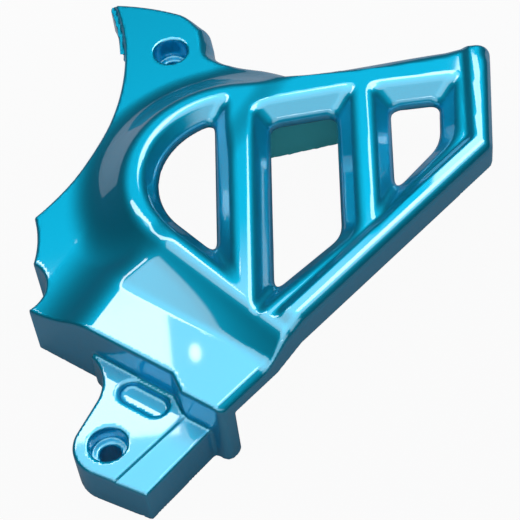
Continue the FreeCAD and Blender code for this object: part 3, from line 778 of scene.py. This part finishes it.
class SPROCKET_OT_shell(bpy.types.Operator):
    """Make the blended shell and lacquer it"""

    bl_idname = "sprocket.shell"
    bl_label = "Lacquered shell"

    def execute(self, context):
        scene = context.scene
        points, quads, normals, bare = shell_surface(scene.sprocket_shell)
        low, high = (np.array(corner) for corner in CAD_BOX)
        points = np.clip((points + SHIFT) * 0.001, low, high)
        piece = net_object("lacquered_shell", points, quads, normals, bare)
        piece.data.materials.append(lacquer(scene.sprocket_lacquer))
        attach(piece, "root")
        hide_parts(NODE)
        return {"FINISHED"}


# Studio, in metres; lamps are placed by azimuth and elevation


CAMERA_PLACE = Vector((0.0799, -0.3016, 0.4918))
CAMERA_FORWARD = Vector((-0.04829, 0.61385, -0.78795))
CAMERA_RIGHT = Vector((0.99607, -0.02901, -0.08365))
CAMERA_LENS, CAMERA_SENSOR, CAMERA_LIFT = 122.4, 36.0, 0.004
LIT_PLACE = Vector((0.030, 0.040, 0.030))
LAMP_DISTANCE, LAMP_LEAN = 1.6, (-0.6, 3.0)
SOFTBOX_CORNER, SOFTBOX_REACH = (-9.9, 50.7), (0.9, 0.20)
SIDE_CORNER, SIDE_REACH = (10.0, 43.0), (0.8, 0.8)
BULB_CORNER, BULB_REACH = (-9.3, 54.6), (0.014, 0.022)
STRIP_CORNER, STRIP_REACH = (192.0, 45.2), (0.68, 0.03)
LEFT, RIGHT = 1, -1
CEILING_EDGE = (0.77, 0.80)
FRONT_DEPTH, FRONT_HEIGHT = (0.35, 0.6), (0.35, 0.5)
WALL_GLOW = 0.01
FLOOR_HALF, FLOOR_PLACE = 1.5, (0.03, 0.09, -0.0004)
# painted shade: the floor before the object is darker than the paper beyond it, so that the lacquer's
# front walls reflect it dark and get less light thrown back onto them
NEAR_FLOOR_SHADE, FLOOR_CHANGE, FLOOR_GLOW = (0.20, 0.22, 0.25), (0.0, 0.15), 0.95


def world_light(settings):
    """Bright ceiling over dark walls; plain white where the camera looks past the floor."""
    world = bpy.data.worlds.new("studio_dome")
    bpy.context.scene.world = world
    paint = Paint(world)
    looking = paint.node("ShaderNodeTexCoord", output=0)
    height = paint.node("ShaderNodeSeparateXYZ", {}, {0: looking}, output=2)
    depth = paint.node("ShaderNodeSeparateXYZ", {}, {0: looking}, output=1)
    rise = ramp_between(height, *CEILING_EDGE)
    behind = ramp_between(0 - depth, *FRONT_DEPTH) * ramp_between(height, *FRONT_HEIGHT)
    seen = paint.node("ShaderNodeLightPath", output=0)
    strength = WALL_GLOW + rise * settings.dome + behind * (1 - rise) * settings.front
    strength = strength * (1 - seen) + seen
    light = paint.node("ShaderNodeBackground", {}, {"Color": (1, 1, 1, 1), "Strength": strength})
    paint.node("ShaderNodeOutputWorld", {}, {"Surface": light})


def direction(azimuth, elevation):
    """Unit vector; azimuth in degrees from +Y, positive towards +X."""
    a, e = math.radians(azimuth), math.radians(elevation)
    return Vector((math.sin(a) * math.cos(e), math.cos(a) * math.cos(e), math.sin(e)))


def corner_lamp(name, corner, side, reach, radiance):
    """Lamp that fills the view from the lower flat above one corner direction, to its left or right.
    Its power is its radiance times its area times pi."""
    low_corner = direction(*corner)
    above = direction(corner[0] + LAMP_LEAN[0], corner[1] + LAMP_LEAN[1])
    up = (above - low_corner * above.dot(low_corner)).normalized()
    left = up.cross(low_corner)
    width, height = reach
    lamp = bpy.data.lights.new(name, "AREA")
    lamp.shape = "RECTANGLE"
    lamp.size, lamp.size_y = width, height
    lamp.energy = radiance * width * height * math.pi
    obj = bpy.data.objects.new(name, lamp)
    bpy.context.scene.collection.objects.link(obj)
    centre = LIT_PLACE + low_corner * LAMP_DISTANCE + left * (side * width / 2) + up * (height / 2)
    turn = Matrix((left, up, low_corner)).transposed()
    obj.matrix_world = Matrix.Translation(centre) @ turn.to_4x4()
    return obj


def floor_paper(settings):
    """Paper with painted shade, darker before the object than beyond it so that the lacquer reflects it
    dark; it glows white for the camera alone.
    """
    material = bpy.data.materials.new("floor_paper")
    paint = Paint(material)
    seen = paint.node("ShaderNodeLightPath", output=0)
    place = paint.node("ShaderNodeTexCoord", output=3)
    depth = paint.node("ShaderNodeSeparateXYZ", {}, {0: place}, output=1)
    # painted shade: the darker paper before the object, seen only in reflections and the light it throws
    # back
    near = paint.node("ShaderNodeBsdfDiffuse", {}, {"Color": (*NEAR_FLOOR_SHADE, 1.0)})
    far = paint.node("ShaderNodeBsdfDiffuse", {}, {"Color": (*settings.floor, 1.0)})
    paper = paint.node("ShaderNodeMixShader", {}, {
        0: ramp_between(depth, *FLOOR_CHANGE), 1: near, 2: far})
    glow = paint.node("ShaderNodeEmission", {}, {"Color": (1, 1, 1, 1), "Strength": 1.0})
    mixed = paint.node("ShaderNodeMixShader", {}, {0: seen * FLOOR_GLOW, 1: paper, 2: glow})
    paint.node("ShaderNodeOutputMaterial", {}, {"Surface": mixed})
    return material


def floor_sheet(settings):
    """Pale floor, with painted shade before the object, that shows white but keeps the object's shadow.
    """
    half = FLOOR_HALF
    corners = [(-half, -half, 0), (half, -half, 0), (half, half, 0), (-half, half, 0)]
    mesh = bpy.data.meshes.new("floor")
    mesh.from_pydata(corners, [], [(0, 1, 2, 3)])
    mesh.materials.append(floor_paper(settings))
    floor = bpy.data.objects.new("floor", mesh)
    bpy.context.scene.collection.objects.link(floor)
    floor.location = FLOOR_PLACE


def photo_camera():
    """Camera at the photograph's place and angle."""
    camera = bpy.data.cameras.new("camera")
    camera.lens = CAMERA_LENS
    camera.sensor_width = CAMERA_SENSOR
    camera.shift_y = CAMERA_LIFT
    obj = bpy.data.objects.new("camera", camera)
    bpy.context.scene.collection.objects.link(obj)
    right = CAMERA_RIGHT.normalized()
    back = -CAMERA_FORWARD.normalized()
    turn = Matrix((right, back.cross(right), back)).transposed()
    obj.matrix_world = Matrix.Translation(CAMERA_PLACE) @ turn.to_4x4()
    return obj


class SPROCKET_OT_studio(bpy.types.Operator):
    """Set the floor, the lamps and the camera"""

    bl_idname = "sprocket.studio"
    bl_label = "Studio"

    def execute(self, context):
        scene = context.scene
        settings = scene.sprocket_studio
        scene.view_settings.view_transform = "Standard"
        floor_sheet(settings)
        world_light(settings)
        corner_lamp("softbox", SOFTBOX_CORNER, LEFT, SOFTBOX_REACH, settings.softbox)
        corner_lamp("side_lamp", SIDE_CORNER, RIGHT, SIDE_REACH, settings.side)
        corner_lamp("strip", STRIP_CORNER, LEFT, STRIP_REACH, settings.strip)
        corner_lamp("bulb", BULB_CORNER, RIGHT, BULB_REACH, settings.softbox).data.shape = "ELLIPSE"
        scene.camera = photo_camera()
        return {"FINISHED"}


class SPROCKET_PT_panel(bpy.types.Panel):
    """Lists the settings and the two operators"""

    bl_label = "Sprocket cover"
    bl_idname = "SPROCKET_PT_panel"
    bl_space_type = "VIEW_3D"
    bl_region_type = "UI"
    bl_category = "Sprocket cover"

    def draw(self, context):
        scene = context.scene
        for group in (scene.sprocket_shell, scene.sprocket_lacquer, scene.sprocket_studio):
            for name in group.__annotations__:
                self.layout.prop(group, name)
        self.layout.operator(SPROCKET_OT_shell.bl_idname)
        self.layout.operator(SPROCKET_OT_studio.bl_idname)


CLASSES = (ShellSettings, LacquerSettings, StudioSettings, SPROCKET_OT_shell, SPROCKET_OT_studio,
           SPROCKET_PT_panel)
SETTINGS = {
    "sprocket_shell": ShellSettings,
    "sprocket_lacquer": LacquerSettings,
    "sprocket_studio": StudioSettings,
}


def register():
    for cls in CLASSES:
        bpy.utils.register_class(cls)
    for name, group in SETTINGS.items():
        setattr(bpy.types.Scene, name, bpy.props.PointerProperty(type=group))


def unregister():
    for name in SETTINGS:
        delattr(bpy.types.Scene, name)
    for cls in reversed(CLASSES):
        bpy.utils.unregister_class(cls)


def main():
    register()
    bpy.ops.sprocket.shell()
    bpy.ops.sprocket.studio()


if __name__ == "__main__":
    main()
